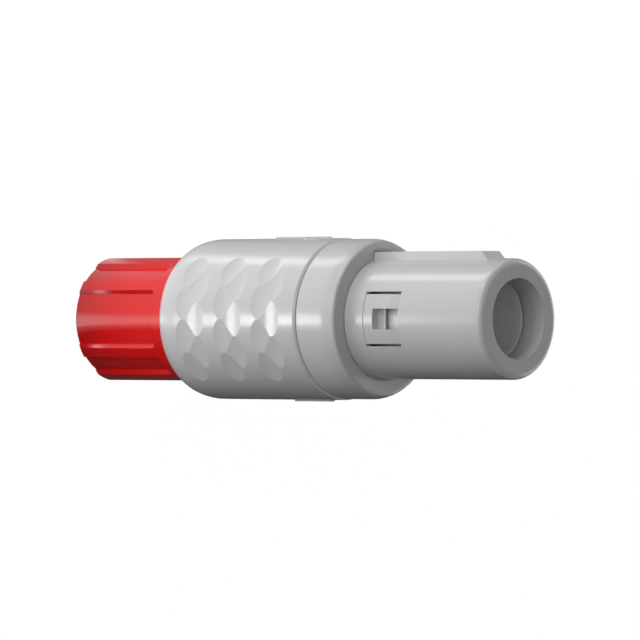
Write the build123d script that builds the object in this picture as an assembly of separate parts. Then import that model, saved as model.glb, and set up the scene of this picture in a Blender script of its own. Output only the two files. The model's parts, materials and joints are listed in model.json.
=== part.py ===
"""Push-pull circular connector plug, moulded in plastic, without its cable.

The plug stands on the rear face of its cable nut. The axis is +Z, the nose points up, the key rib
faces +X and the two latches face +Y and -Y. The origin is the centre of the rear face. All sizes
are in millimetres, radii are measured from the axis, and "front" means the nose end.
"""
import os
from math import cos, radians, sin, sqrt

from build123d import *

# Running and seat clearances
SLIDE_GAP = 0.06          # radial play between pieces that slide or turn on each other
SEAT_GAP = 0.05           # play between pieces that are fixed in each other
EPS = 0.5                 # how far a cutter runs past the face that it opens

# Release shell, the grip
SHELL_RADIUS = 7.02
SHELL_WALL = 0.87
SHELL_LENGTH = 17.1
SHELL_SKIRT = 3.15        # reach behind the rear body's flange
SHELL_REAR_ROUND = 2.5
SHELL_LIP = 0.1           # flat rim round the rear opening
SHELL_STOP_GAP = 0.2      # behind the rear body's flange
RELEASE_TRAVEL = 1.2      # rearward slide that frees the latches
STOP_GAP = 0.1            # left in front of the stop flange at full travel

# Scallops of the grip, three bands on each side
SCALLOP_PITCH = 24.5      # degrees between neighbours in a row
SCALLOP_HALF_ARC = 13.0   # degrees from a scallop's middle to its tip
SCALLOP_HALF_WIDTH = 1.12
SCALLOP_ROW_OFFSET = 1.03  # between the two rows of a band
BAND_PITCH = 4.35
BANDS = 3
BAND_SETBACK = 3.86       # from the shell's rear end to the first row

# Raised marks that show the key's side
MARK_HEIGHT = 0.14
MARK_BAR_LENGTH = 4.0
MARK_BAR_WIDTH = 0.7
MARK_ARROW_LENGTH = 2.2
MARK_ARROW_WIDTH = 2.6
MARK_SETBACK = 2.3        # from the shell's front end

# Front ring of the grip
RING_STEP = 0.09          # how far it lies below the shell's surface
RING_LENGTH = 3.53
RING_SHOULDER = 1.2       # length of its rounded front shoulder
RING_SHOULDER_DROP = 0.33
RING_SPIGOT = 1.0         # length inside the shell
SEAM = 0.16               # chamfers that make the line between shell and ring

# Cable nut, the red piece
NUT_STEP = 1.5            # from the shell's radius down to the nut's
NUT_LENGTH = 13.6
NUT_EDGE = 0.3            # chamfer of its rear edge
NUT_MOUTH_WALL = 1.92     # round the cable hole
NUT_MOUTH_DEPTH = 1.2
NUT_CONE_LENGTH = 1.9     # cone that squeezes the collet
NUT_THREAD_WALL = 0.82    # outside the thread
NUT_FRONT_EDGE = 0.2
FLUTE_LENGTH = 9.4
FLUTE_DEPTH = 0.42
FLUTE_CORNER = 0.6        # rounding of a flute's closed end
FLUTE_DRAFT = 1.9         # degrees that each side wall opens by, floor to surface
WIDE_FLUTE = 27.4         # half angles at the surface
NARROW_FLUTE = 12.25
NARROW_FLUTE_ANGLE = 49.95  # from the middle of a wide flute
KEY_SIDE_FLUTE = 11.0

# Collet that grips the cable
COLLET_WALL = 0.84
COLLET_TAIL_SETBACK = 0.8  # behind the start of the nut's cone
COLLET_THREAD_GAP = 0.2   # from its tail to the rear body's thread
COLLET_SLEEVE_LENGTH = 4.7
COLLET_SLOT = 0.5
COLLET_SLOTS = 4
COLLET_RIB_DEPTH = 0.18   # grip ridges inside the tail
COLLET_RIB_PITCH = 0.8

# Rear body, the threaded middle piece
THREAD_LENGTH = 8.45
THREAD_WALL = 0.7
REAR_FLANGE_GAP = 0.35    # from the tightened nut
REAR_FLANGE_PLAY = 0.25   # from the flange's rim to the shell's bore
REAR_FLANGE_LENGTH = 1.25
REAR_FLANGE_STEP = 0.6    # where the rear bore meets the spigot's bore
SPIGOT_LENGTH = 5.8       # front sleeve that carries the nose
SPIGOT_WALL = 0.6

# Nose, the tube that enters the socket
NOSE_RADIUS = 5.165
NOSE_LENGTH = 31.3
NOSE_EDGE = 0.58          # rounding of the front rim
NOSE_WALL = 1.365
NOSE_SKIRT_WALL = 0.415   # thinner wall over the rear body's spigot
NOSE_SKIRT_LENGTH = 10.2
LIP_MOUTH_WALL = 1.675
LIP_WALL = 1.805
LIP_CONE = 0.9
LIP_LENGTH = 2.15
STOP_FLANGE_PLAY = 0.15   # from the flange's rim to the shell's bore
STOP_FLANGE_LENGTH = 1.4

# Key rib on the nose
KEY_WIDTH = 2.45
KEY_RISE = 0.625          # above the nose's surface
KEY_LENGTH = 17.34
KEY_SETBACK = 2.16        # from the nose's front rim
KEY_SLOPE = 0.95          # length of its sloping front end

# Latches, one on each side
LATCH_ARM_DEPTH = 1.0     # from the nose's surface to the arm's inside
LATCH_ARM_THICKNESS = 0.35
LATCH_SLIT = 0.21         # open slit on each side of a latch
LATCH_WINDOW_HALF = 2.34  # half the window's width
LATCH_WINDOW_LENGTH = 3.9
LATCH_WINDOW_SETBACK = 9.1  # from the nose's front rim
LATCH_FRONT_GAP = 0.1
LATCH_REAR_GAP = 0.05
LATCH_SINK = 0.04         # how far the pad lies below the nose's surface
LATCH_ROOT_GAP = 0.5      # from the end of the nose's skirt bore to the arm's root
LATCH_FOOT_LENGTH = 1.0   # foot at the root that rests on the carrier
LATCH_FOOT_GAP = 0.1
LATCH_RAMP = 0.2          # how far the pad's front end slopes down
LATCH_RAMP_LENGTH = 0.9
NOTCH_WIDTH = 1.75
NOTCH_SETBACK = 1.03      # from the window's rear end
NOTCH_LEDGE = 0.8
NOTCH_DEPTH = 0.86        # from the nose's surface to the ledge

# Insulator with its contacts
INSULATOR_LENGTH = 13.1
INSULATOR_CUP_WALL = 0.45
INSULATOR_CUP_DEPTH = 5.6
INSULATOR_GAP = 0.25      # dark line between the nose lip and the insulator
CONTACTS_ON_CIRCLE = 6
CONTACT_CIRCLE_SHARE = 0.65  # of the carrier's bore
CONTACT_BODY_RADIUS = 0.5
PIN_RADIUS = 0.35
PIN_LENGTH = 1.7
CONTACT_COLLAR_RADIUS = 0.68
CONTACT_COLLAR_LENGTH = 0.5
CONTACT_TAIL = 4.7        # from the insulator's rear face to the solder cups' open ends
CUP_DEPTH = 2.2
CUP_BORE = 0.34
WAFER_LENGTH = 1.4        # plate behind the contacts' collars

# Split carrier that holds the insulator from behind
CARRIER_WALL = 0.75
CARRIER_SEAT = 0.2        # from the rear body's flange to the carrier
CARRIER_SHOULDER_GAP = 0.1
CARRIER_SPLIT = 0.1

# Radii that follow
shell_bore = SHELL_RADIUS - SHELL_WALL
ring_radius = SHELL_RADIUS - RING_STEP
nut_radius = SHELL_RADIUS - NUT_STEP
shell_rear_bore = nut_radius + SLIDE_GAP
thread_radius = nut_radius - NUT_THREAD_WALL - SLIDE_GAP
nut_thread_bore = thread_radius + SLIDE_GAP
nut_mouth_radius = nut_radius - NUT_MOUTH_WALL
rear_body_bore = thread_radius - THREAD_WALL
collet_sleeve_radius = rear_body_bore - SLIDE_GAP
collet_bore = collet_sleeve_radius - COLLET_WALL
rear_flange_radius = shell_bore - REAR_FLANGE_PLAY
stop_flange_radius = shell_bore - STOP_FLANGE_PLAY
nose_bore = NOSE_RADIUS - NOSE_WALL
nose_skirt_bore = NOSE_RADIUS - NOSE_SKIRT_WALL
spigot_radius = nose_skirt_bore - SEAT_GAP
spigot_bore = spigot_radius - SPIGOT_WALL
insulator_radius = nose_bore - SEAT_GAP
carrier_bore = insulator_radius - CARRIER_WALL
ring_bore = NOSE_RADIUS + SLIDE_GAP
key_top = NOSE_RADIUS + KEY_RISE
latch_arm_inner = NOSE_RADIUS - LATCH_ARM_DEPTH
latch_arm_outer = latch_arm_inner + LATCH_ARM_THICKNESS
latch_channel = latch_arm_outer + SLIDE_GAP
latch_half_width = LATCH_WINDOW_HALF - LATCH_SLIT
contact_hole = CONTACT_BODY_RADIUS + SEAT_GAP / 2
contact_circle = CONTACT_CIRCLE_SHARE * carrier_bore

# Heights that follow, from the nut's rear face up
rear_flange_start = NUT_LENGTH + REAR_FLANGE_GAP
rear_flange_front = rear_flange_start + REAR_FLANGE_LENGTH
thread_start = rear_flange_start - THREAD_LENGTH
collet_tail_start = NUT_MOUTH_DEPTH + COLLET_TAIL_SETBACK
collet_tail_end = thread_start - COLLET_THREAD_GAP
collet_front = collet_tail_end + COLLET_SLEEVE_LENGTH
spigot_front = rear_flange_front + SPIGOT_LENGTH
carrier_rear = rear_flange_front + CARRIER_SEAT
shell_stop = rear_flange_start - SHELL_STOP_GAP
shell_rear = rear_flange_start - SHELL_SKIRT
shell_front = shell_rear + SHELL_LENGTH
ring_rear = shell_front + SEAM / 4
ring_front = ring_rear + RING_LENGTH
stop_flange_front = ring_rear - RING_SPIGOT - RELEASE_TRAVEL - STOP_GAP
nose_front = rear_flange_front + NOSE_LENGTH
nose_step = rear_flange_front + NOSE_SKIRT_LENGTH
key_front = nose_front - KEY_SETBACK
key_rear = key_front - KEY_LENGTH
lip_rear = nose_front - LIP_LENGTH
insulator_front = lip_rear - INSULATOR_GAP
insulator_rear = insulator_front - INSULATOR_LENGTH
insulator_floor = insulator_front - INSULATOR_CUP_DEPTH
collar_front = insulator_rear - SEAT_GAP
collar_rear = collar_front - CONTACT_COLLAR_LENGTH
carrier_front = collar_front - CARRIER_SHOULDER_GAP
window_front = nose_front - LATCH_WINDOW_SETBACK
window_rear = window_front - LATCH_WINDOW_LENGTH
latch_root = nose_step + LATCH_ROOT_GAP
latch_front = window_front - LATCH_FRONT_GAP
latch_pad_rear = window_rear + LATCH_REAR_GAP
SIDES = (90, 270)         # angles that the latches, scallops and wide flutes face


def turned(*points, arc=360):
    """Solid turned about the plug's axis from (radius, height) corners."""
    section = make_face(Polyline(*[(r, 0, z) for r, z in points], close=True))
    return revolve(section, Axis.Z, arc)


def tube(outer, inner, low, high):
    """Plain ring between two radii and two heights."""
    return turned((inner, low), (outer, low), (outer, high), (inner, high))


def rod(radius, low, high, x=0, y=0):
    """Cylinder along the axis with its foot at height low."""
    return Pos(x, y, low) * Cylinder(radius, high - low, align=(Align.CENTER, Align.CENTER, Align.MIN))


def block(x_low, x_high, half_width, low, high):
    """Box that reaches outwards along +X, centred on the XZ plane."""
    size = (x_high - x_low, 2 * half_width, high - low)
    return Pos((x_low + x_high) / 2, 0, (low + high) / 2) * Box(*size)


def circle_at(edges, z, radius):
    """The circular edges at one height and radius."""
    return edges.filter_by(GeomType.CIRCLE).filter_by(
        lambda e: abs(e.center(CenterOf.BOUNDING_BOX).Z - z) < 0.01 and abs(e.radius - radius) < 0.01
    )


def flute(half, angle):
    """Cutter for one flute of the nut: round floor, drafted sides and a rounded closed end."""
    floor = nut_radius - FLUTE_DEPTH
    reach = nut_radius + EPS
    low = radians(half - FLUTE_DRAFT)
    high = radians(half + FLUTE_DRAFT * EPS / FLUTE_DEPTH)
    inner = [(floor * cos(a), floor * sin(a)) for a in (-low, 0, low)]
    outer = [(reach * cos(a), reach * sin(a)) for a in (-high, 0, high)]
    outline = [
        ThreePointArc(*inner),
        Line(inner[2], outer[2]),
        ThreePointArc(*reversed(outer)),
        Line(outer[0], inner[0]),
    ]
    cutter = Pos(0, 0, -EPS) * extrude(make_face(outline), FLUTE_LENGTH + EPS)
    ends = cutter.edges().filter_by(GeomType.LINE).filter_by(
        lambda e: abs(e.center().Z - FLUTE_LENGTH) < 0.01
    )
    return Rot(0, 0, angle) * fillet(ends, FLUTE_CORNER)


def collet_nut():
    """Cable nut: fluted outside, cable hole and cone at the rear, thread bore in front."""
    cone_end = NUT_MOUTH_DEPTH + NUT_CONE_LENGTH
    body = turned(
        (nut_mouth_radius, 0),
        (nut_radius - NUT_EDGE, 0),
        (nut_radius, NUT_EDGE),
        (nut_radius, NUT_LENGTH - NUT_FRONT_EDGE),
        (nut_radius - NUT_FRONT_EDGE, NUT_LENGTH),
        (nut_thread_bore, NUT_LENGTH),
        (nut_thread_bore, cone_end),
        (nut_mouth_radius, NUT_MOUTH_DEPTH),
    )
    cutters = []
    for side in SIDES:
        cutters.append(flute(WIDE_FLUTE, side))
        cutters.append(flute(KEY_SIDE_FLUTE, side + 90))
        for turn in (-NARROW_FLUTE_ANGLE, NARROW_FLUTE_ANGLE):
            cutters.append(flute(NARROW_FLUTE, side + turn))
    return body - cutters


def collet():
    """Split collet: a slotted tail under the nut's cone and a sleeve inside the rear body."""
    tail_radius = nut_thread_bore - SLIDE_GAP
    cone = tail_radius - nut_mouth_radius
    tip_radius = nut_mouth_radius + cone * COLLET_TAIL_SETBACK / NUT_CONE_LENGTH
    body = turned(
        (collet_bore, collet_tail_start),
        (tip_radius - SLIDE_GAP, collet_tail_start),
        (tail_radius, NUT_MOUTH_DEPTH + NUT_CONE_LENGTH + SLIDE_GAP),
        (tail_radius, collet_tail_end),
        (collet_sleeve_radius, collet_tail_end),
        (collet_sleeve_radius, collet_front),
        (collet_bore, collet_front),
    )
    for turn in range(COLLET_SLOTS):
        slot = block(0, nut_radius, COLLET_SLOT / 2, collet_tail_start - EPS, collet_tail_end + 1)
        body -= Rot(0, 0, 45 + turn * 360 / COLLET_SLOTS) * slot
    ridge = collet_tail_start + COLLET_RIB_PITCH
    while ridge < collet_tail_end:
        body -= turned(
            (collet_bore - EPS, ridge - COLLET_RIB_DEPTH),
            (collet_bore, ridge - COLLET_RIB_DEPTH),
            (collet_bore + COLLET_RIB_DEPTH, ridge),
            (collet_bore, ridge + COLLET_RIB_DEPTH),
            (collet_bore - EPS, ridge + COLLET_RIB_DEPTH),
        )
        ridge += COLLET_RIB_PITCH
    return body


def rear_body():
    """Threaded rear piece: thread for the nut, flange for the shell, spigot for the nose."""
    bore_step = rear_flange_start + REAR_FLANGE_STEP
    return turned(
        (rear_body_bore, thread_start),
        (thread_radius - NUT_FRONT_EDGE, thread_start),
        (thread_radius, thread_start + NUT_FRONT_EDGE),
        (thread_radius, rear_flange_start),
        (rear_flange_radius, rear_flange_start),
        (rear_flange_radius, rear_flange_front),
        (spigot_radius, rear_flange_front),
        (spigot_radius, spigot_front),
        (spigot_bore, spigot_front),
        (spigot_bore, bore_step),
        (rear_body_bore, bore_step),
    )


def plug_nose():
    """Nose tube with its rounded rim, inner lip, stop flange, key rib and latch windows."""
    stop_flange_rear = stop_flange_front - STOP_FLANGE_LENGTH
    body = turned(
        (nose_skirt_bore, rear_flange_front),
        (NOSE_RADIUS, rear_flange_front),
        (NOSE_RADIUS, stop_flange_rear),
        (stop_flange_radius, stop_flange_rear),
        (stop_flange_radius, stop_flange_front),
        (NOSE_RADIUS, stop_flange_front),
        (NOSE_RADIUS, nose_front),
        (NOSE_RADIUS - LIP_MOUTH_WALL, nose_front),
        (NOSE_RADIUS - LIP_WALL, nose_front - LIP_CONE),
        (NOSE_RADIUS - LIP_WALL, lip_rear),
        (nose_bore, lip_rear),
        (nose_bore, nose_step),
        (nose_skirt_bore, nose_step),
    )
    body = fillet(circle_at(body.edges(), nose_front, NOSE_RADIUS), NOSE_EDGE)
    key_foot = sqrt(NOSE_RADIUS**2 - (KEY_WIDTH / 2) ** 2) - 0.2
    profile = make_face(
        Polyline(
            (key_foot, 0, key_rear),
            (key_top, 0, key_rear),
            (key_top, 0, key_front - KEY_SLOPE),
            (key_foot, 0, key_front),
            close=True,
        )
    )
    body += extrude(profile, KEY_WIDTH / 2, dir=(0, 1, 0), both=True)
    for side in SIDES:
        channel = tube(latch_channel, nose_bore - EPS, nose_step - EPS, window_front)
        channel &= block(0, NOSE_RADIUS, LATCH_WINDOW_HALF, nose_step - EPS, window_front)
        window = block(nose_bore - 1, NOSE_RADIUS + EPS, LATCH_WINDOW_HALF, window_rear, window_front)
        body -= Rot(0, 0, side) * (channel + window)
    return body


def latch():
    """Latch arm that faces +X: a curved strip with a forked pad that fills the nose's window."""
    pad_radius = NOSE_RADIUS - LATCH_SINK
    arm = tube(latch_arm_outer, latch_arm_inner, latch_root, latch_front)
    foot = tube(latch_arm_outer, insulator_radius + LATCH_FOOT_GAP, latch_root, latch_root + LATCH_FOOT_LENGTH)
    pad = turned(
        (latch_arm_inner, latch_pad_rear),
        (pad_radius, latch_pad_rear),
        (pad_radius, latch_front - LATCH_RAMP_LENGTH),
        (pad_radius - LATCH_RAMP, latch_front),
        (latch_arm_inner, latch_front),
    )
    strip = block(latch_arm_inner / 2, NOSE_RADIUS + EPS, latch_half_width, latch_root, latch_front)
    body = (arm + pad + foot) & strip
    notch = window_rear + NOTCH_SETBACK
    ledge = NOSE_RADIUS - NOTCH_DEPTH
    body -= block(ledge, NOSE_RADIUS + EPS, NOTCH_WIDTH / 2, notch, latch_front + EPS)
    body -= block(latch_arm_inner / 2, NOSE_RADIUS, NOTCH_WIDTH / 2, notch + NOTCH_LEDGE, latch_front + EPS)
    return body


def contact_places():
    """Centre contact first, then the circle of contacts."""
    places = [(0, 0)]
    for turn in range(CONTACTS_ON_CIRCLE):
        angle = radians(turn * 360 / CONTACTS_ON_CIRCLE)
        places.append((contact_circle * cos(angle), contact_circle * sin(angle)))
    return places


def contact_holes(low, high):
    """Cutters for the contacts' bodies between two heights."""
    return [rod(contact_hole, low - EPS, high + EPS, x, y) for x, y in contact_places()]


def insulator():
    """Insulator: a cup open to the front whose thick floor holds the contacts."""
    cup_radius = insulator_radius - INSULATOR_CUP_WALL
    body = turned(
        (0, insulator_rear),
        (insulator_radius, insulator_rear),
        (insulator_radius, insulator_front),
        (cup_radius, insulator_front),
        (cup_radius, insulator_floor),
        (0, insulator_floor),
    )
    return body - contact_holes(insulator_rear, insulator_floor)


def contact_wafer():
    """Plate inside the carrier that keeps the contacts' collars against the insulator."""
    front = collar_rear - SEAT_GAP
    plate = rod(carrier_bore - SEAT_GAP, front - WAFER_LENGTH, front)
    return plate - contact_holes(front - WAFER_LENGTH, front)


def contact(x, y):
    """Turned contact: rounded pin, body, collar behind the insulator and a solder cup."""
    pin_tip = insulator_floor + PIN_LENGTH
    cup_rear = insulator_rear - CONTACT_TAIL
    body = turned(
        (0, cup_rear),
        (CONTACT_BODY_RADIUS, cup_rear),
        (CONTACT_BODY_RADIUS, collar_rear),
        (CONTACT_COLLAR_RADIUS, collar_rear),
        (CONTACT_COLLAR_RADIUS, collar_front),
        (CONTACT_BODY_RADIUS, collar_front),
        (CONTACT_BODY_RADIUS, insulator_floor),
        (PIN_RADIUS, insulator_floor),
        (PIN_RADIUS, pin_tip),
        (0, pin_tip),
    )
    body = fillet(circle_at(body.edges(), pin_tip, PIN_RADIUS), PIN_RADIUS * 0.8)
    body -= rod(CUP_BORE, cup_rear - EPS, cup_rear + CUP_DEPTH)
    body -= block(0, 2 * CONTACT_BODY_RADIUS, CUP_BORE, cup_rear - EPS, cup_rear + CUP_DEPTH / 2)
    return Pos(x, y, 0) * body


def carrier_half(turn):
    """Half of the split carrier: a long half shell that backs the insulator."""
    shoulder_rear = spigot_front + CARRIER_SHOULDER_GAP
    shoulder_front = nose_step - CARRIER_SHOULDER_GAP
    body = turned(
        (carrier_bore, carrier_rear),
        (spigot_bore - SEAT_GAP, carrier_rear),
        (spigot_bore - SEAT_GAP, shoulder_rear),
        (nose_skirt_bore - SEAT_GAP, shoulder_rear),
        (nose_skirt_bore - SEAT_GAP, shoulder_front),
        (insulator_radius, shoulder_front),
        (insulator_radius, carrier_front),
        (carrier_bore, carrier_front),
    )
    half = Pos(CARRIER_SPLIT / 2, 0, 0) * block(0, NOSE_RADIUS, NOSE_RADIUS, carrier_rear, carrier_front)
    return Rot(0, 0, turn) * (body & half)


def scallop(height, angle):
    """Cutter for one scallop of the grip: a cylinder laid across the plug's axis."""
    depth = SHELL_RADIUS * (1 - cos(radians(SCALLOP_HALF_ARC)))
    radius = (SCALLOP_HALF_WIDTH**2 + depth**2) / (2 * depth)
    cutter = Rot(90, 0, 0) * Cylinder(radius, SHELL_RADIUS)
    return Rot(0, 0, angle) * (Pos(SHELL_RADIUS - depth + radius, 0, height) * cutter)


def raised_mark(with_arrow):
    """Plain raised bar, with an arrow towards the nose on the key's side."""
    tip = shell_front - MARK_SETBACK
    bar_front = tip - MARK_ARROW_LENGTH if with_arrow else tip
    shape = block(0, 2 * SHELL_RADIUS, MARK_BAR_WIDTH / 2, bar_front - MARK_BAR_LENGTH, bar_front)
    if with_arrow:
        arrow = make_face(
            Polyline(
                (0, -MARK_ARROW_WIDTH / 2, tip - MARK_ARROW_LENGTH),
                (0, MARK_ARROW_WIDTH / 2, tip - MARK_ARROW_LENGTH),
                (0, 0, tip),
                close=True,
            )
        )
        shape += extrude(arrow, 2 * SHELL_RADIUS, dir=(1, 0, 0))
    return shape & tube(SHELL_RADIUS + MARK_HEIGHT, SHELL_RADIUS - MARK_HEIGHT, shell_rear, shell_front)


def outer_shell():
    """Release shell: rounded rear, scalloped sides, raised marks, stepped bore."""
    mouth = shell_rear_bore + SHELL_LIP
    round_end = shell_rear + SHELL_REAR_ROUND
    dome = Plane.XZ * EllipticalCenterArc(
        (mouth, round_end), SHELL_RADIUS - mouth, SHELL_REAR_ROUND, start_angle=270, arc_size=90
    )
    section = [
        dome,
        Polyline(
            (SHELL_RADIUS, 0, round_end),
            (SHELL_RADIUS, 0, shell_front - SEAM),
            (SHELL_RADIUS - SEAM, 0, shell_front),
            (shell_bore, 0, shell_front),
            (shell_bore, 0, shell_stop),
            (shell_rear_bore, 0, shell_stop),
            (shell_rear_bore, 0, shell_rear),
            (mouth, 0, shell_rear),
        ),
    ]
    body = revolve(make_face(section), Axis.Z)
    cutters = []
    for side in SIDES:
        for band in range(BANDS):
            rear_row = shell_rear + BAND_SETBACK + band * BAND_PITCH
            for step in (-1.5, -0.5, 0.5, 1.5):
                cutters.append(scallop(rear_row, side + step * SCALLOP_PITCH))
            for step in (-1, 0, 1):
                cutters.append(scallop(rear_row + SCALLOP_ROW_OFFSET, side + step * SCALLOP_PITCH))
    body -= cutters
    body += raised_mark(True)
    body += Rot(0, 0, 180) * raised_mark(False)
    return body


def front_ring():
    """Front ring of the grip: rounded shoulder, flat face, bore with a slot for the key."""
    spigot = shell_bore - SEAT_GAP
    spigot_rear = ring_rear - RING_SPIGOT
    shoulder_start = (ring_radius, 0, ring_front - RING_SHOULDER)
    face_edge = (ring_radius - RING_SHOULDER_DROP, 0, ring_front)
    section = [
        Polyline(
            face_edge,
            (ring_bore, 0, ring_front),
            (ring_bore, 0, spigot_rear),
            (spigot, 0, spigot_rear),
            (spigot, 0, ring_rear),
            (ring_radius - SEAM, 0, ring_rear),
            (ring_radius, 0, ring_rear + SEAM),
            shoulder_start,
        ),
        TangentArc(shoulder_start, face_edge, tangent=(0, 0, 1)),
    ]
    body = revolve(make_face(section), Axis.Z)
    slot = block(0, key_top + SLIDE_GAP, KEY_WIDTH / 2 + SLIDE_GAP, spigot_rear - EPS, ring_front + EPS)
    return body - slot


pieces = {
    "collet_nut": collet_nut(),
    "collet": collet(),
    "rear_body": rear_body(),
    "plug_nose": plug_nose(),
    "insulator": insulator(),
    "contact_wafer": contact_wafer(),
    "carrier_half_front": carrier_half(0),
    "carrier_half_back": carrier_half(180),
    "latch_left": Rot(0, 0, SIDES[0]) * latch(),
    "latch_right": Rot(0, 0, SIDES[1]) * latch(),
    "outer_shell": outer_shell(),
    "front_ring": front_ring(),
}
for number, (x, y) in enumerate(contact_places(), start=1):
    pieces[f"contact_{number}"] = contact(x, y)

os.makedirs("parts", exist_ok=True)
for name, piece in pieces.items():
    export_step(piece, f"parts/{name}.step")
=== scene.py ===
import json
from math import cos, pi, radians, sin, tau

import bmesh
import bpy
from mathutils import Matrix, Vector


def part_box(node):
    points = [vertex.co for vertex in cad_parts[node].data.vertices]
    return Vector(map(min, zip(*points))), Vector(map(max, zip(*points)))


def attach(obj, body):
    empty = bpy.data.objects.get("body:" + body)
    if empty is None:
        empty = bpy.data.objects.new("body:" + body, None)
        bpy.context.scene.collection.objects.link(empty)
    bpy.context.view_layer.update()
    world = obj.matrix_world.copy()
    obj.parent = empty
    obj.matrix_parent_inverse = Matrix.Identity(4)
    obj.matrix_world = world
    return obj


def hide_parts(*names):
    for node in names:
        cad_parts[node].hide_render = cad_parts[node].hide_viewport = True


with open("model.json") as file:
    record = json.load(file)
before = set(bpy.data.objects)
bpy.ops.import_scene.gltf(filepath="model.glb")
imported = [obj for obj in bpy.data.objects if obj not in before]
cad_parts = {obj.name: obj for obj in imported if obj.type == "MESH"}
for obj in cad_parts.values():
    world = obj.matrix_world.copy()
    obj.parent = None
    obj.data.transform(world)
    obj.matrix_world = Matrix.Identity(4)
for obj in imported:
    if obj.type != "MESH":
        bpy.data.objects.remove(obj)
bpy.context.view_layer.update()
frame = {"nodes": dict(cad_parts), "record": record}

nodes = frame["nodes"]
scene = bpy.context.scene
MM = 0.001


# Sizes and levels

# Noises of the moulded plastic, in waves per metre.
FLOW_WAVES = 220
FLOW_STRETCH = (1, 1, 0.35)     # the flow lines run along the plug
GLOSS_WAVES = 900
SURFACE_WAVES = 420
GRAIN_WAVES = 5200
SURFACE_DEPTH = 8               # depth of the surface waves in depths of the grain
NOISE_RANGE = (0.3, 0.7)        # part of a noise that is spread over a finish's range
EDGE_RADIUS = 0.07 * MM
RING_EDGE_RADIUS = 0.6 * MM     # the front ring's shoulder is softer
EDGE_SAMPLES = 4

# Turned and plated contacts.
TARNISH_WAVES = 1800
TURNING_WAVES = 600
TURNING_STRETCH = (1, 1, 25)    # the turning lines run round the contact
TURNING_DEPTH = 0.0015 * MM

# Seam between shell and ring, bore of the ring, pads of the latches.
SEAM_SHIFT = 0.62 * MM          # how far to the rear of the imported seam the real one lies
SEAM_ZONE = 27.6 * MM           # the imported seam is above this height
RING_SEAM_TOP = 28.2 * MM       # the ring's rear chamfer is below this height
RING_SEAM_RADIUS = 6.0 * MM     # and outside this radius
RING_BORE = (5.2 * MM, 5.25 * MM)
RING_BORE_CLOSED = 5.18 * MM
PAD_REAR = 33.55 * MM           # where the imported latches' pads begin
PAD_REAR_REACH = 0.02 * MM
PAD_SHIFT = 0.043 * MM

# Cable thread on the rear body.
THREAD_CORE = 4.64 * MM         # radius of the rear body under the ridge
THREAD_PITCH = 0.75 * MM
THREAD_HEIGHT = 0.04 * MM
THREAD_FOOT = 0.34 * MM         # width of the ridge where it leaves the core
THREAD_CREST = 0.25             # width of the crest in widths of the foot
THREAD_SINK = 0.8               # how deep the foot is sunk, in heights of the ridge
THREAD_RUN_OUT = 0.25 * MM      # plain length left at each end
THREAD_CHAMFER = 0.2 * MM       # chamfer at the rear body's rear end
THREAD_STEPS = 72               # points on each turn
WELD = 0.0001 * MM

# Floor and world.
FLOOR_HALF = 3.0
FLOOR_GREY = 0.4
FLOOR_SHARE = 0.08              # how much of the shaded floor the camera still sees
FLOOR_WHITE = 1.08
WORLD_LEVEL = 0.05

# Lamps: name, angle from +Y towards +X, elevation, width, height, level.
SOFTBOXES = (
    ("front softbox", 5, 12, 0.5, 0.3, 0.31),
    ("middle softbox", 38, 10, 0.5, 0.3, 0.29),
    ("side softbox", 80, 2, 0.6, 0.2, 0.41),
    ("top softbox", 10, 55, 0.3, 0.3, 0.11),
    ("back softbox", 178, 8, 0.6, 0.5, 0.55),
)
SOFTBOX_DISTANCE = 0.5
SOFTBOX_AIM = Vector((0, 0, 0.024))

# Flat rings round the plug. Ramps list (angle from +Y in degrees, or reach in metres; part).
RING_STEPS = 96
RING_LIFT = 0.1 * MM
FULL_TURN = (-180, 180)

TABLE_RING = (0.011, 0.12)      # lights what tilts to the rear, such as the scallops
TABLE_LEVEL = 1.55
TABLE_ROUND = [(-180, 0), (-44, 0), (-38, 1), (150, 1), (170, 0)]

CARD_RING = (0.0049, 0.3)       # only reflections see it
ROOM_LEVEL = 2.5
ROOM_ROUND = [(-180, 0.02), (-16, 0.03), (-10, 0.4), (84, 0.4), (100, 0.12), (180, 0.04)]
FRONT_LEVEL = 10                # long highlight in the middle of the photographed side
FRONT_SPAN = (-30, 30)
FRONT_ROUND = [(-30, 0), (-9, 0), (-7, 1), (1, 1), (9, 0)]
FRONT_REACH = [(0, 0.3), (0.011, 0.16), (0.019, 0.16), (0.027, 0.9), (0.04, 1), (0.05, 0.15),
               (0.06, 0)]
SIDE_LEVEL = 3                  # fainter highlight near the key's side
SIDE_SPAN = (60, 120)
SIDE_ROUND = [(60, 0), (75, 0), (78, 1), (84, 1), (93, 0)]
SIDE_REACH = [(0, 0), (0.014, 0), (0.026, 1), (0.12, 1)]
REACH_SPAN = (0, 0.12)

# Camera: a long lens, rolled so that the plug lies along the picture.
CAMERA_TILT = radians(41)       # above the floor
CAMERA_AIM = Vector((-0.000083, 0, 0.0242))
CAMERA_DISTANCE = 0.608
CAMERA_CLIP = (0.05, 20)
SENSOR = 36                     # in millimetres, as is the lens
PICTURE = 640                   # pixels across the sensor
LENS_IN_PIXELS = 7000


# Helpers

def link_object(name, mesh):
    """New object in the scene for a mesh, lamp or camera."""
    obj = bpy.data.objects.new(name, mesh)
    scene.collection.objects.link(obj)
    return obj


def set_or_join(tree, value, socket):
    """Puts a number on a socket, or joins another node's output to it."""
    if isinstance(value, (int, float)):
        socket.default_value = value
    else:
        tree.links.new(value, socket)


def maths(tree, operation, first, second=0):
    """Output of a maths node on two numbers or outputs."""
    node = tree.nodes.new("ShaderNodeMath")
    node.operation = operation
    set_or_join(tree, first, node.inputs[0])
    set_or_join(tree, second, node.inputs[1])
    return node.outputs[0]


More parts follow.
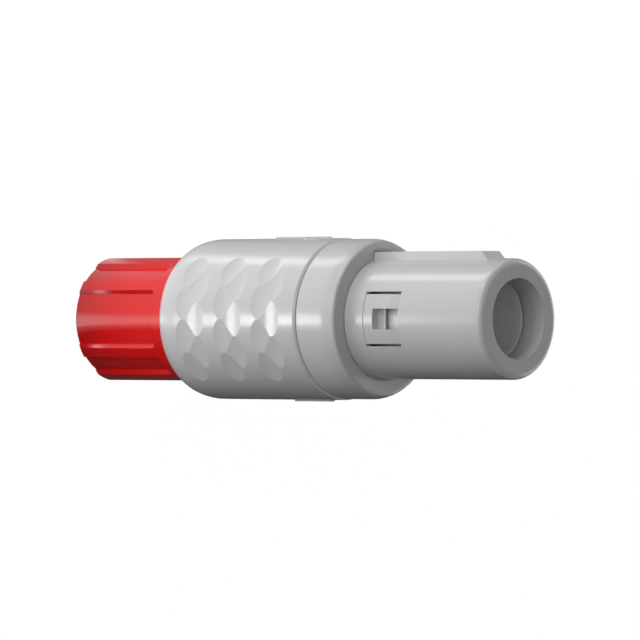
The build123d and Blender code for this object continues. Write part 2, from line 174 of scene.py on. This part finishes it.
def map_range(tree, value, source, target=(0, 1)):
    """Maps a value from one range to another."""
    node = tree.nodes.new("ShaderNodeMapRange")
    node.inputs["From Min"].default_value, node.inputs["From Max"].default_value = source
    node.inputs["To Min"].default_value, node.inputs["To Max"].default_value = target
    tree.links.new(value, node.inputs["Value"])
    return node.outputs["Result"]


def new_material(name):
    """Material with a Principled shader; returns (material, tree, shader, Object coordinates)."""
    material = bpy.data.materials.new(name)
    material.use_nodes = True
    tree = material.node_tree
    shader = tree.nodes["Principled BSDF"]
    coordinates = tree.nodes.new("ShaderNodeTexCoord").outputs["Object"]
    return material, tree, shader, coordinates


def new_bare_material(name):
    """Material with nothing but its output; returns (material, tree)."""
    material = bpy.data.materials.new(name)
    material.use_nodes = True
    tree = material.node_tree
    tree.nodes.remove(tree.nodes["Principled BSDF"])
    return material, tree


def noise(tree, coordinates, scale, detail, roughness, stretch=None):
    """Noise at a scale in waves per metre, its axes multiplied by stretch where that is given."""
    if stretch:
        mapping = tree.nodes.new("ShaderNodeMapping")
        mapping.inputs["Scale"].default_value = stretch
        tree.links.new(coordinates, mapping.inputs["Vector"])
        coordinates = mapping.outputs["Vector"]
    node = tree.nodes.new("ShaderNodeTexNoise")
    node.inputs["Scale"].default_value = scale
    node.inputs["Detail"].default_value = detail
    node.inputs["Roughness"].default_value = roughness
    tree.links.new(coordinates, node.inputs["Vector"])
    return node.outputs["Fac"]


def two_colours(tree, value, first, second):
    """Colour ramp over a noise between two linear colours."""
    node = tree.nodes.new("ShaderNodeValToRGB")
    for mark, place, colour in zip(node.color_ramp.elements, NOISE_RANGE, (first, second)):
        mark.position = place
        mark.color = (*colour, 1)
    tree.links.new(value, node.inputs["Fac"])
    return node.outputs["Color"]


def grey_ramp(tree, value, span, stops):
    """Grey ramp over a value in a span; stops are (value, level up to 1)."""
    low, high = span
    node = tree.nodes.new("ShaderNodeValToRGB")
    marks = node.color_ramp.elements
    while len(marks) < len(stops):
        marks.new(0.5)
    for mark, (at, level) in zip(marks, stops):
        mark.position = (at - low) / (high - low)
        mark.color = (level, level, level, 1)
    tree.links.new(map_range(tree, value, span), node.inputs["Fac"])
    return node.outputs["Color"]


# Finishes

def relief(tree, shader, layers, edge=None):
    """Stacks bump layers, each (height, depth), on the shader's normal.

    Where edge is given, the shading of sharp edges is rounded by that radius under the bumps."""
    normal = None
    if edge:
        bevel = tree.nodes.new("ShaderNodeBevel")
        bevel.samples = EDGE_SAMPLES
        bevel.inputs["Radius"].default_value = edge
        normal = bevel.outputs["Normal"]
    for height, depth in layers:
        bump = tree.nodes.new("ShaderNodeBump")
        bump.inputs["Distance"].default_value = depth
        tree.links.new(height, bump.inputs["Height"])
        if normal:
            tree.links.new(normal, bump.inputs["Normal"])
        normal = bump.outputs["Normal"]
    tree.links.new(normal, shader.inputs["Normal"])


def moulded_plastic(name, colour, gloss, grain=0.00012 * MM, edge=EDGE_RADIUS):
    """Moulded plastic: flow mottling, uneven gloss, fine spark-eroded grain, softened edges."""
    material, tree, shader, coordinates = new_material(name)
    mottling = 0.02
    darker = [c * (1 - mottling) for c in colour]
    lighter = [c * (1 + mottling) for c in colour]
    flow = noise(tree, coordinates, FLOW_WAVES, 3, 0.55, FLOW_STRETCH)
    tree.links.new(two_colours(tree, flow, darker, lighter), shader.inputs["Base Color"])
    patches = noise(tree, coordinates, GLOSS_WAVES, 4, 0.6)
    tree.links.new(map_range(tree, patches, NOISE_RANGE, gloss), shader.inputs["Roughness"])
    waves = noise(tree, coordinates, SURFACE_WAVES, 1, 0.4)
    skin = noise(tree, coordinates, GRAIN_WAVES, 1, 0.5)
    relief(tree, shader, [(waves, grain * SURFACE_DEPTH), (skin, grain)], edge)
    shader.inputs["IOR"].default_value = 1.5
    return material


def plated_metal():
    """Gold plating on turned metal: fine turning lines and a soft tarnish."""
    material, tree, shader, coordinates = new_material("plated contact")
    tarnish = noise(tree, coordinates, TARNISH_WAVES, 3, 0.6)
    tree.links.new(two_colours(tree, tarnish, (0.72, 0.46, 0.13), (0.86, 0.6, 0.22)),
                   shader.inputs["Base Color"])
    tree.links.new(map_range(tree, tarnish, NOISE_RANGE, (0.16, 0.3)), shader.inputs["Roughness"])
    lines = noise(tree, coordinates, TURNING_WAVES, 2, 0.5, TURNING_STRETCH)
    relief(tree, shader, [(lines, TURNING_DEPTH)])
    shader.inputs["Metallic"].default_value = 1.0
    return material


GREY = (0.48, 0.48, 0.482)
COARSE_GRAIN = 0.0004 * MM

grip_plastic = moulded_plastic("grip plastic", GREY, (0.16, 0.21))
nut_plastic = moulded_plastic("nut plastic", (0.62, 0.004, 0.005), (0.14, 0.19))
ring_plastic = moulded_plastic("ring plastic", GREY, (0.17, 0.22), edge=RING_EDGE_RADIUS)
clamp_plastic = moulded_plastic("clamp plastic", (0.62, 0.61, 0.56), (0.3, 0.42), COARSE_GRAIN)
inner_plastic = moulded_plastic("inner plastic", (0.3, 0.3, 0.305), (0.32, 0.44), COARSE_GRAIN)
insulator_plastic = moulded_plastic("insulator plastic", (0.785, 0.8, 0.82), (0.22, 0.3),
                                    0.0003 * MM)

FINISHES = {
    "grip_plastic": grip_plastic,
    "nut_plastic": nut_plastic,
    "clamp_plastic": clamp_plastic,
    "inner_plastic": inner_plastic,
    "insulator_plastic": insulator_plastic,
    "contact_metal": plated_metal(),
}


def finish_nodes():
    """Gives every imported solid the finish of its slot."""
    for part in frame["record"]["subparts"]:
        materials = nodes[part["node"]].data.materials
        materials.clear()
        materials.append(FINISHES[part["material_slot"]])


# Grip: the seam where the real one is, and no hairlines at ring and latches

def shell_place(place):
    """Moves the shell's front end to the rear, to the real seam."""
    if place.z > SEAM_ZONE:
        return place - Vector((0, 0, SEAM_SHIFT))
    return place


def ring_place(place):
    """Stretches the ring to the real seam and closes its bore on the nose."""
    radius = place.xy.length
    if SEAM_ZONE < place.z < RING_SEAM_TOP and radius > RING_SEAM_RADIUS:
        return place - Vector((0, 0, SEAM_SHIFT))
    if RING_BORE[0] < radius < RING_BORE[1]:
        k = RING_BORE_CLOSED / radius
        return Vector((place.x * k, place.y * k, place.z))
    return place


def latch_place(place):
    """Closes the hairline behind a latch's pad."""
    if abs(place.z - PAD_REAR) < PAD_REAR_REACH:
        return place - Vector((0, 0, PAD_SHIFT))
    return place


def fitted_copy(name, node_name, body, finish, move):
    """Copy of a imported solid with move(place) applied to its vertices; it replaces the solid."""
    mesh = nodes[node_name].data.copy()
    mesh.name = name
    for vertex in mesh.vertices:
        vertex.co = move(vertex.co)
    mesh.materials.clear()
    mesh.materials.append(finish)
    piece = link_object(name, mesh)
    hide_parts(node_name)
    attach(piece, body)


def make_grip():
    """Shell, ring and both latches."""
    fitted_copy("grip_shell", "outer_shell", "release_shell", grip_plastic, shell_place)
    fitted_copy("grip_ring", "front_ring", "release_shell", ring_plastic, ring_place)
    fitted_copy("latch_plus_y", "latch_left", "latch_left", grip_plastic, latch_place)
    fitted_copy("latch_minus_y", "latch_right", "latch_right", grip_plastic, latch_place)


# Cable thread

def thread_tree():
    """Geometry Nodes tree: a ridge with a wide foot and a narrow crest, swept along a helix."""
    tree = bpy.data.node_groups.new("cable thread", "GeometryNodeTree")
    sockets = tree.interface
    sockets.new_socket("Geometry", in_out="OUTPUT", socket_type="NodeSocketGeometry")
    for title in ("Core Radius", "Ridge Height", "Foot Width", "Start", "Length", "Pitch"):
        sockets.new_socket(title, in_out="INPUT", socket_type="NodeSocketFloat")
    sockets.new_socket("Material", in_out="INPUT", socket_type="NodeSocketMaterial")
    add, join = tree.nodes.new, tree.links.new
    given = add("NodeGroupInput").outputs

    # The helix runs a little inside the core, which sinks the ridge's foot.
    sunk = maths(tree, "MULTIPLY", given["Ridge Height"], THREAD_SINK)
    middle = maths(tree, "SUBTRACT", given["Core Radius"], sunk)
    helix = add("GeometryNodeCurveSpiral")
    helix.inputs["Resolution"].default_value = THREAD_STEPS
    join(maths(tree, "DIVIDE", given["Length"], given["Pitch"]), helix.inputs["Rotations"])
    join(middle, helix.inputs["Start Radius"])
    join(middle, helix.inputs["End Radius"])
    join(given["Length"], helix.inputs["Height"])
    lift = add("ShaderNodeCombineXYZ")
    join(given["Start"], lift.inputs["Z"])
    place = add("GeometryNodeTransform")
    join(helix.outputs["Curve"], place.inputs["Geometry"])
    join(lift.outputs["Vector"], place.inputs["Translation"])
    upright = add("GeometryNodeSetCurveNormal")
    upright.mode = "Z_UP"
    join(place.outputs["Geometry"], upright.inputs["Curve"])

    # The section's Y runs along the plug, and its -X points away from the axis.
    half_foot = maths(tree, "MULTIPLY", given["Foot Width"], 0.5)
    rise = maths(tree, "ADD", given["Ridge Height"], sunk)
    crest = maths(tree, "MULTIPLY", rise, -1)
    corners = ((-1, 0), (1, 0), (THREAD_CREST, crest), (-THREAD_CREST, crest))
    section = add("GeometryNodeCurvePrimitiveQuadrilateral")
    section.mode = "POINTS"
    for socket, (part, outward) in zip(section.inputs[-4:], corners):
        corner = add("ShaderNodeCombineXYZ")
        join(maths(tree, "MULTIPLY", half_foot, part), corner.inputs["Y"])
        set_or_join(tree, outward, corner.inputs["X"])
        join(corner.outputs["Vector"], socket)

    sweep = add("GeometryNodeCurveToMesh")
    join(upright.outputs["Curve"], sweep.inputs["Curve"])
    join(section.outputs["Curve"], sweep.inputs["Profile Curve"])
    sweep.inputs["Fill Caps"].default_value = True
    real = add("GeometryNodeRealizeInstances")
    join(sweep.outputs["Mesh"], real.inputs["Geometry"])
    finish = add("GeometryNodeSetMaterial")
    join(real.outputs["Geometry"], finish.inputs["Geometry"])
    join(given["Material"], finish.inputs["Material"])
    join(finish.outputs["Geometry"], add("NodeGroupOutput").inputs["Geometry"])
    return tree


def grown(name, tree, sizes):
    """Runs a Geometry Nodes tree with its named inputs and returns a plain mesh object."""
    maker = link_object(name + "_maker", bpy.data.meshes.new(name + " seed"))
    modifier = maker.modifiers.new("maker", "NODES")
    modifier.node_group = tree
    for item in tree.interface.items_tree:
        if item.in_out == "INPUT" and item.name in sizes:
            modifier[item.identifier] = sizes[item.name]
    graph = bpy.context.evaluated_depsgraph_get()
    mesh = bpy.data.meshes.new_from_object(maker.evaluated_get(graph))
    bpy.data.objects.remove(maker)
    shape = bmesh.new()
    shape.from_mesh(mesh)
    bmesh.ops.remove_doubles(shape, verts=shape.verts, dist=WELD)
    bmesh.ops.recalc_face_normals(shape, faces=shape.faces)
    shape.to_mesh(mesh)
    shape.free()
    return link_object(name, mesh)


def make_thread():
    """Fine thread that the cable nut runs on, inside the nut's clearance."""
    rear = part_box("rear_body")[0][2]
    nut_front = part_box("collet_nut")[1][2]
    start = rear + THREAD_RUN_OUT + THREAD_CHAMFER
    ridge = grown("cable_thread", thread_tree(), {
        "Core Radius": THREAD_CORE,
        "Ridge Height": THREAD_HEIGHT,
        "Foot Width": THREAD_FOOT,
        "Start": start,
        "Length": nut_front - THREAD_RUN_OUT - start,
        "Pitch": THREAD_PITCH,
        "Material": inner_plastic,
    })
    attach(ridge, "core")


# Floor and world

def backdrop(tree, plain, white_type, plain_share, white_level):
    """Output that is white to camera, glossy and transmission rays, and plain to all others.

    plain_share is how much of the plain shader those rays still see, so that a shadow stays."""
    path = tree.nodes.new("ShaderNodeLightPath").outputs
    seen = maths(tree, "MAXIMUM", path["Is Camera Ray"], path["Is Glossy Ray"])
    seen = maths(tree, "MAXIMUM", seen, path["Is Transmission Ray"])
    white = tree.nodes.new(white_type)
    white.inputs["Color"].default_value = (1, 1, 1, 1)
    white.inputs["Strength"].default_value = white_level
    mix = tree.nodes.new("ShaderNodeMixShader")
    tree.links.new(maths(tree, "MULTIPLY", seen, 1 - plain_share), mix.inputs["Fac"])
    tree.links.new(plain.outputs[0], mix.inputs[1])
    tree.links.new(white.outputs[0], mix.inputs[2])
    return mix.outputs[0]


def make_world():
    """Dim white world with a white background."""
    world = bpy.data.worlds.new("studio")
    world.use_nodes = True
    scene.world = world
    tree = world.node_tree
    plain = tree.nodes["Background"]
    plain.inputs["Color"].default_value = (1, 1, 1, 1)
    plain.inputs["Strength"].default_value = WORLD_LEVEL
    tree.links.new(backdrop(tree, plain, "ShaderNodeBackground", 0, 1),
                   tree.nodes["World Output"].inputs["Surface"])


def make_floor():
    """Grey floor that shows white and keeps a faint shadow."""
    corners = [(x * FLOOR_HALF, y * FLOOR_HALF, 0) for x, y in ((-1, -1), (1, -1), (1, 1), (-1, 1))]
    mesh = bpy.data.meshes.new("floor")
    mesh.from_pydata(corners, [], [(0, 1, 2, 3)])
    material, tree = new_bare_material("floor")
    plain = tree.nodes.new("ShaderNodeBsdfDiffuse")
    plain.inputs["Color"].default_value = (FLOOR_GREY, FLOOR_GREY, FLOOR_GREY, 1)
    tree.links.new(backdrop(tree, plain, "ShaderNodeEmission", FLOOR_SHARE, FLOOR_WHITE),
                   tree.nodes["Material Output"].inputs["Surface"])
    mesh.materials.append(material)
    floor = link_object("floor", mesh)


# Lamps, light table and reflection card

def softbox(name, angle, elevation, width, height, level):
    """Area lamp that lights a surface facing it at level; its angle is from +Y towards +X."""
    a, e = radians(angle), radians(elevation)
    direction = Vector((cos(e) * sin(a), cos(e) * cos(a), sin(e)))
    lamp = bpy.data.lights.new(name, "AREA")
    lamp.shape = "RECTANGLE"
    lamp.size, lamp.size_y = width, height
    lamp.energy = level * pi**2 * SOFTBOX_DISTANCE**2
    obj = link_object(name, lamp)
    obj.location = SOFTBOX_AIM + direction * SOFTBOX_DISTANCE
    obj.rotation_mode = "QUATERNION"
    obj.rotation_quaternion = direction.to_track_quat("Z", "Y")


def floor_ring(name, reaches):
    """Flat ring just above the floor; returns (object, tree, angle from +Y in degrees, reach)."""
    points, faces = [], []
    for step in range(RING_STEPS):
        a = tau * step / RING_STEPS
        points += [(r * sin(a), r * cos(a), RING_LIFT) for r in reaches]
        k, n = 2 * step, 2 * ((step + 1) % RING_STEPS)
        faces.append((k, k + 1, n + 1, n))
    mesh = bpy.data.meshes.new(name)
    mesh.from_pydata(points, [], faces)
    material, tree = new_bare_material(name)
    split = tree.nodes.new("ShaderNodeSeparateXYZ")
    tree.links.new(tree.nodes.new("ShaderNodeTexCoord").outputs["Object"], split.inputs[0])
    x, y = split.outputs["X"], split.outputs["Y"]
    angle = maths(tree, "MULTIPLY", maths(tree, "ARCTAN2", x, y), 180 / pi)
    squares = [maths(tree, "MULTIPLY", side, side) for side in (x, y)]
    reach = maths(tree, "SQRT", maths(tree, "ADD", *squares))
    mesh.materials.append(material)
    ring = link_object(name, mesh)
    ring.visible_camera = False
    ring.visible_shadow = False
    ring.visible_transmission = False
    return ring, tree, angle, reach


def light_ring(tree, strength):
    """Ends a ring's material in an emission of the given strength."""
    glow = tree.nodes.new("ShaderNodeEmission")
    glow.inputs["Color"].default_value = (1, 1, 1, 1)
    tree.links.new(strength, glow.inputs["Strength"])
    tree.links.new(glow.outputs[0], tree.nodes["Material Output"].inputs["Surface"])


def light_table():
    """Soft light from the floor on the photographed side and the key's side."""
    ring, tree, angle, _ = floor_ring("light_table", TABLE_RING)
    ring.visible_glossy = False
    light = grey_ramp(tree, angle, FULL_TURN, TABLE_ROUND)
    light_ring(tree, maths(tree, "MULTIPLY", light, TABLE_LEVEL))


def reflection_card():
    """Card on the floor that reflections see: the room's levels and two bright stripes."""
    card, tree, angle, reach = floor_ring("reflection_card", CARD_RING)
    card.visible_diffuse = False
    room = grey_ramp(tree, angle, FULL_TURN, ROOM_ROUND)
    strength = maths(tree, "MULTIPLY", room, ROOM_LEVEL)
    for level, span, around, along in (
        (FRONT_LEVEL, FRONT_SPAN, FRONT_ROUND, FRONT_REACH),
        (SIDE_LEVEL, SIDE_SPAN, SIDE_ROUND, SIDE_REACH),
    ):
        stripe = maths(tree, "MULTIPLY", grey_ramp(tree, angle, span, around),
                       grey_ramp(tree, reach, REACH_SPAN, along))
        strength = maths(tree, "ADD", strength, maths(tree, "MULTIPLY", stripe, level))
    light_ring(tree, strength)


# Camera

def make_camera():
    """Camera on the +Y side, with +X up in the picture."""
    back = Vector((0, cos(CAMERA_TILT), sin(CAMERA_TILT)))
    up = Vector((1, 0, 0))
    right = up.cross(back)
    place = CAMERA_AIM + back * CAMERA_DISTANCE
    camera = bpy.data.cameras.new("camera")
    camera.sensor_width = SENSOR
    camera.lens = LENS_IN_PIXELS * SENSOR / PICTURE
    camera.clip_start, camera.clip_end = CAMERA_CLIP
    obj = link_object("camera", camera)
    obj.matrix_world = Matrix((
        (right.x, up.x, back.x, place.x),
        (right.y, up.y, back.y, place.y),
        (right.z, up.z, back.z, place.z),
        (0, 0, 0, 1),
    ))
    scene.camera = obj


finish_nodes()
make_grip()
make_thread()
make_world()
make_floor()
for lamp_values in SOFTBOXES:
    softbox(*lamp_values)
light_table()
reflection_card()
make_camera()
scene.view_settings.view_transform = "Standard"
